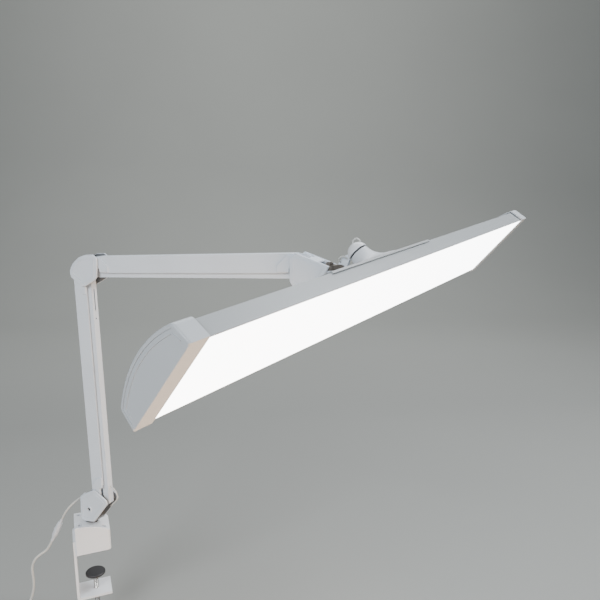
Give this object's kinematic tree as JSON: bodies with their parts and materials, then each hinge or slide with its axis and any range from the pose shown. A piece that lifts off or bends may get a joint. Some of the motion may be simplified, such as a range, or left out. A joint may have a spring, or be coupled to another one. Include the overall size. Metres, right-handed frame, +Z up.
{
  "type": "desk lamp",
  "caption": "Clamp-on desk lamp: two balanced parallelogram arms carry a long, flat LED panel head on a swivelling ball joint.",
  "frame": {"origin": "on the table top under the swivel axis: the middle of the clamp's upper jaw face", "axes": "+X into the table, away from the clamp's strap; +Z up along the swivel axis; +Y along the table's edge"},
  "size_m": [0.7829, 0.6236, 0.6921],
  "materials": {
    "painted_white": "smooth satin white powder coat",
    "white_plastic": "fine-grained white moulding",
    "bright_steel": "bright zinc-plated steel",
    "cable_white": "soft white cable sheath",
    "black_rubber": "matt black rubber",
    "black_plastic": "matt black moulding",
    "opal_sheet": "lit opal acrylic",
    "board": "white solder mask over aluminium"
  },
  "bodies": {
    "clamp": {"clamp_block": "painted_white", "c_bracket": "painted_white", "block_screws": "bright_steel", "jaw_pad": "black_rubber", "swivel_bush": "black_plastic"},
    "jaw": {"pressure_pad": "black_plastic"},
    "screw": {"clamp_screw": "bright_steel", "clamp_knob": "black_plastic"},
    "fork": {"swivel_post": "bright_steel", "fork_frame": "painted_white", "fork_near_cover": "painted_white", "fork_far_cover": "painted_white", "fork_bolt": "bright_steel", "fork_pins": "bright_steel", "cord_gland": "white_plastic", "lamp_lead": "cable_white", "inline_socket": "white_plastic", "inline_plug": "white_plastic", "supply_lead": "cable_white", "supply_coil": "cable_white", "coil_tie": "black_rubber", "power_adapter": "white_plastic", "adapter_prongs": "bright_steel"},
    "lower_arm": {"lower_channel": "painted_white", "lower_knuckles": "painted_white", "lower_spring": "bright_steel", "lower_spring_posts": "bright_steel"},
    "lower_link": {"lower_link_bar": "painted_white", "base_cable": "cable_white"},
    "elbow": {"elbow_frame": "painted_white", "elbow_near_cover": "painted_white", "elbow_far_cover": "painted_white", "elbow_pins": "bright_steel"},
    "upper_arm": {"upper_channel": "painted_white", "upper_knuckles": "painted_white", "upper_spring": "bright_steel", "upper_spring_posts": "bright_steel"},
    "upper_link": {"upper_link_bar": "painted_white"},
    "wrist": {"wrist_frame": "painted_white", "wrist_near_cover": "painted_white", "wrist_far_cover": "painted_white", "wrist_pins": "bright_steel", "pan_washers": "bright_steel", "pan_bolt": "bright_steel"},
    "neck_hub": {"pan_hub": "painted_white", "tilt_pin": "bright_steel"},
    "neck": {"neck_arm": "painted_white", "ball_cap": "white_plastic", "ball_post": "bright_steel", "neck_cable": "cable_white"},
    "head": {"head_shell": "painted_white", "end_caps": "white_plastic", "diffuser": "opal_sheet", "led_board": "board", "led_driver": "board", "cover_plate": "white_plastic", "swivel_pad": "white_plastic", "swivel_seal": "black_rubber"},
    "button": {"power_button": "white_plastic"},
    "rocker": {"dimmer_rocker": "white_plastic"}
  },
  "joints": [
    {"name": "screw_turn", "type": "hinge", "parent": "jaw", "child": "screw", "pos_m": [0, 0, -0.1], "axis": [0, 0, 1], "range_deg": [-3900, 6130]},
    {"name": "jaw_slide", "type": "slide", "parent": "clamp", "child": "jaw", "axis": [0, 0, 1], "range_m": [-0.0216, 0.034]},
    {"name": "base_swivel", "type": "hinge", "parent": "clamp", "child": "fork", "pos_m": [0, 0, 0.05], "axis": [0, 0, 1], "range_deg": [-170, 170]},
    {"name": "lower_tilt", "type": "hinge", "parent": "fork", "child": "lower_arm", "pos_m": [0.01912, -0.02181, 0.098], "axis": [0.752, 0.6592, 0], "range_deg": [-25, 50], "deforming": ["lower_spring"]},
    {"name": "lower_link_turn", "type": "hinge", "parent": "fork", "child": "lower_link", "pos_m": [0.0284, -0.0324, 0.09272], "axis": [0.752, 0.6592, 0], "range_deg": [-25.5, 50.5]},
    {"name": "elbow_turn", "type": "hinge", "parent": "lower_arm", "child": "elbow", "pos_m": [0.01537, -0.01753, 0.46796], "axis": [0.752, 0.6592, 0], "range_deg": [-50.5, 25.5]},
    {"name": "upper_tilt", "type": "hinge", "parent": "elbow", "child": "upper_arm", "pos_m": [0.03164, -0.03609, 0.4784], "axis": [0.752, 0.6592, 0], "range_deg": [-42, 42], "deforming": ["upper_spring"]},
    {"name": "upper_link_turn", "type": "hinge", "parent": "elbow", "child": "upper_link", "pos_m": [0.03212, -0.03664, 0.46442], "axis": [0.752, 0.6592, 0], "range_deg": [-42.5, 42.5]},
    {"name": "wrist_turn", "type": "hinge", "parent": "upper_arm", "child": "wrist", "pos_m": [0.26534, -0.30267, 0.49692], "axis": [0.752, 0.6592, 0], "range_deg": [-42.5, 42.5]},
    {"name": "head_pan", "type": "hinge", "parent": "wrist", "child": "neck_hub", "pos_m": [0.28742, -0.32785, 0.492], "axis": [0, 0, 1], "range_deg": [-28, 28]},
    {"name": "head_tilt", "type": "hinge", "parent": "neck_hub", "child": "neck", "pos_m": [0.29829, -0.34026, 0.4915], "axis": [0.752, 0.6592, 0], "range_deg": [-32, 45]},
    {"name": "head_turn", "type": "hinge", "parent": "neck", "child": "head", "pos_m": [0.31207, -0.35589, 0.51183], "axis": [-0.4157, 0.6043, 0.6796], "range_deg": [-120, 120]},
    {"name": "power_press", "type": "slide", "parent": "head", "child": "button", "axis": [0.4157, -0.6043, -0.6796], "range_m": [0, 0.0012], "stiffness_N_per_m": 900},
    {"name": "dimmer_rock", "type": "hinge", "parent": "head", "child": "rocker", "pos_m": [0.21043, -0.44305, 0.47801], "axis": [-0.2895, 0.6205, -0.7288], "range_deg": [-3, 3], "stiffness_Nm_per_rad": 0.06}
  ],
  "couplings": [
    {"joint": "screw_turn", "follows": "jaw_slide", "rad_per_m": 3141.6},
    {"joint": "lower_link_turn", "follows": "lower_tilt", "ratio": 1},
    {"joint": "elbow_turn", "follows": "lower_tilt", "ratio": -1},
    {"joint": "upper_link_turn", "follows": "upper_tilt", "ratio": 1},
    {"joint": "wrist_turn", "follows": "upper_tilt", "ratio": -1}
  ]
}
